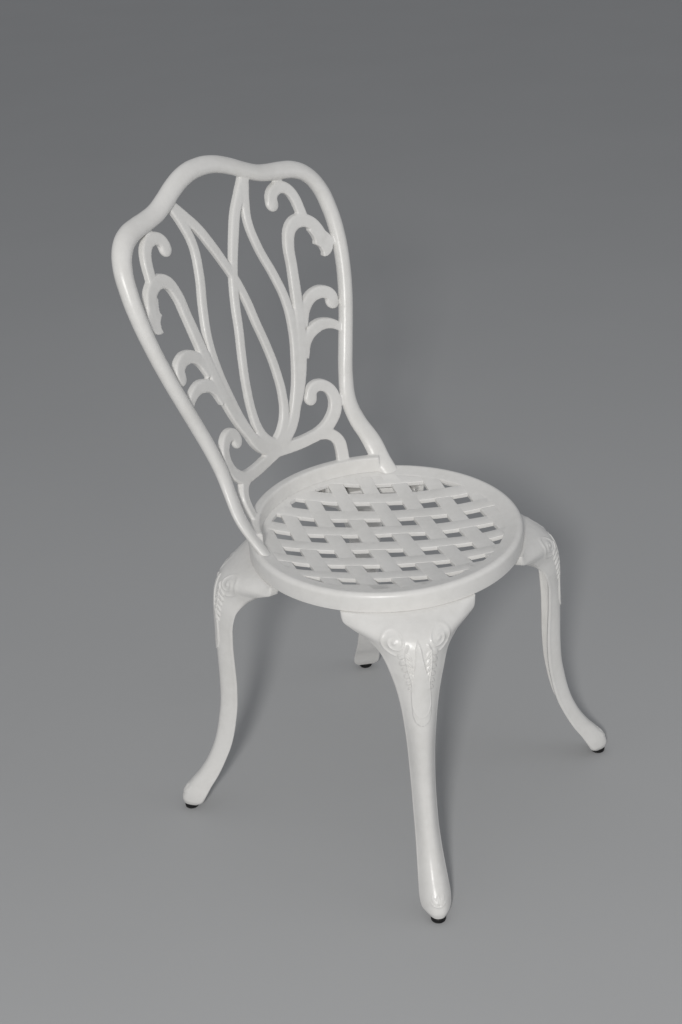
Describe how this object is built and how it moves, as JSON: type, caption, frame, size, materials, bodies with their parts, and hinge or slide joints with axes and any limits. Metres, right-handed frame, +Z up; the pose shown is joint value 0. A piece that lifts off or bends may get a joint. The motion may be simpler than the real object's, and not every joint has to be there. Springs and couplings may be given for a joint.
{
  "type": "bistro chair",
  "caption": "Cast metal garden bistro chair: round dished lattice seat, open scrolled back inside a shaped round rail, bolted-on cabriole legs on black glides.",
  "frame": {"origin": "on the floor, under the middle of the whole chair", "axes": "+Z up, the chair faces -Y, +X is the sitter's left"},
  "size_m": [0.4698, 0.5296, 0.914],
  "materials": {
    "white_powder_coat": "semi-gloss white powder coat over cast aluminium",
    "black_plastic": "moulded black plastic",
    "zinc_steel": "bright zinc-plated steel"
  },
  "bodies": {
    "root": {"backrest": "white_powder_coat", "bolt_back_1": "zinc_steel", "bolt_back_2": "zinc_steel", "bolt_back_3": "zinc_steel", "bolt_back_4": "zinc_steel", "bolt_leg_front_left_a": "zinc_steel", "bolt_leg_front_left_b": "zinc_steel", "bolt_leg_front_right_a": "zinc_steel", "bolt_leg_front_right_b": "zinc_steel", "bolt_leg_rear_left_a": "zinc_steel", "bolt_leg_rear_left_b": "zinc_steel", "bolt_leg_rear_right_a": "zinc_steel", "bolt_leg_rear_right_b": "zinc_steel", "glide_front_left": "black_plastic", "glide_front_right": "black_plastic", "glide_rear_left": "black_plastic", "glide_rear_right": "black_plastic", "leg_front_left": "white_powder_coat", "leg_front_right": "white_powder_coat", "leg_rear_left": "white_powder_coat", "leg_rear_right": "white_powder_coat", "seat": "white_powder_coat", "spring_washer_back_1": "zinc_steel", "spring_washer_back_2": "zinc_steel", "spring_washer_back_3": "zinc_steel", "spring_washer_back_4": "zinc_steel", "spring_washer_leg_front_left_a": "zinc_steel", "spring_washer_leg_front_left_b": "zinc_steel", "spring_washer_leg_front_right_a": "zinc_steel", "spring_washer_leg_front_right_b": "zinc_steel", "spring_washer_leg_rear_left_a": "zinc_steel", "spring_washer_leg_rear_left_b": "zinc_steel", "spring_washer_leg_rear_right_a": "zinc_steel", "spring_washer_leg_rear_right_b": "zinc_steel", "washer_back_1": "zinc_steel", "washer_back_2": "zinc_steel", "washer_back_3": "zinc_steel", "washer_back_4": "zinc_steel", "washer_leg_front_left_a": "zinc_steel", "washer_leg_front_left_b": "zinc_steel", "washer_leg_front_right_a": "zinc_steel", "washer_leg_front_right_b": "zinc_steel", "washer_leg_rear_left_a": "zinc_steel", "washer_leg_rear_left_b": "zinc_steel", "washer_leg_rear_right_a": "zinc_steel", "washer_leg_rear_right_b": "zinc_steel"}
  },
  "joints": []
}
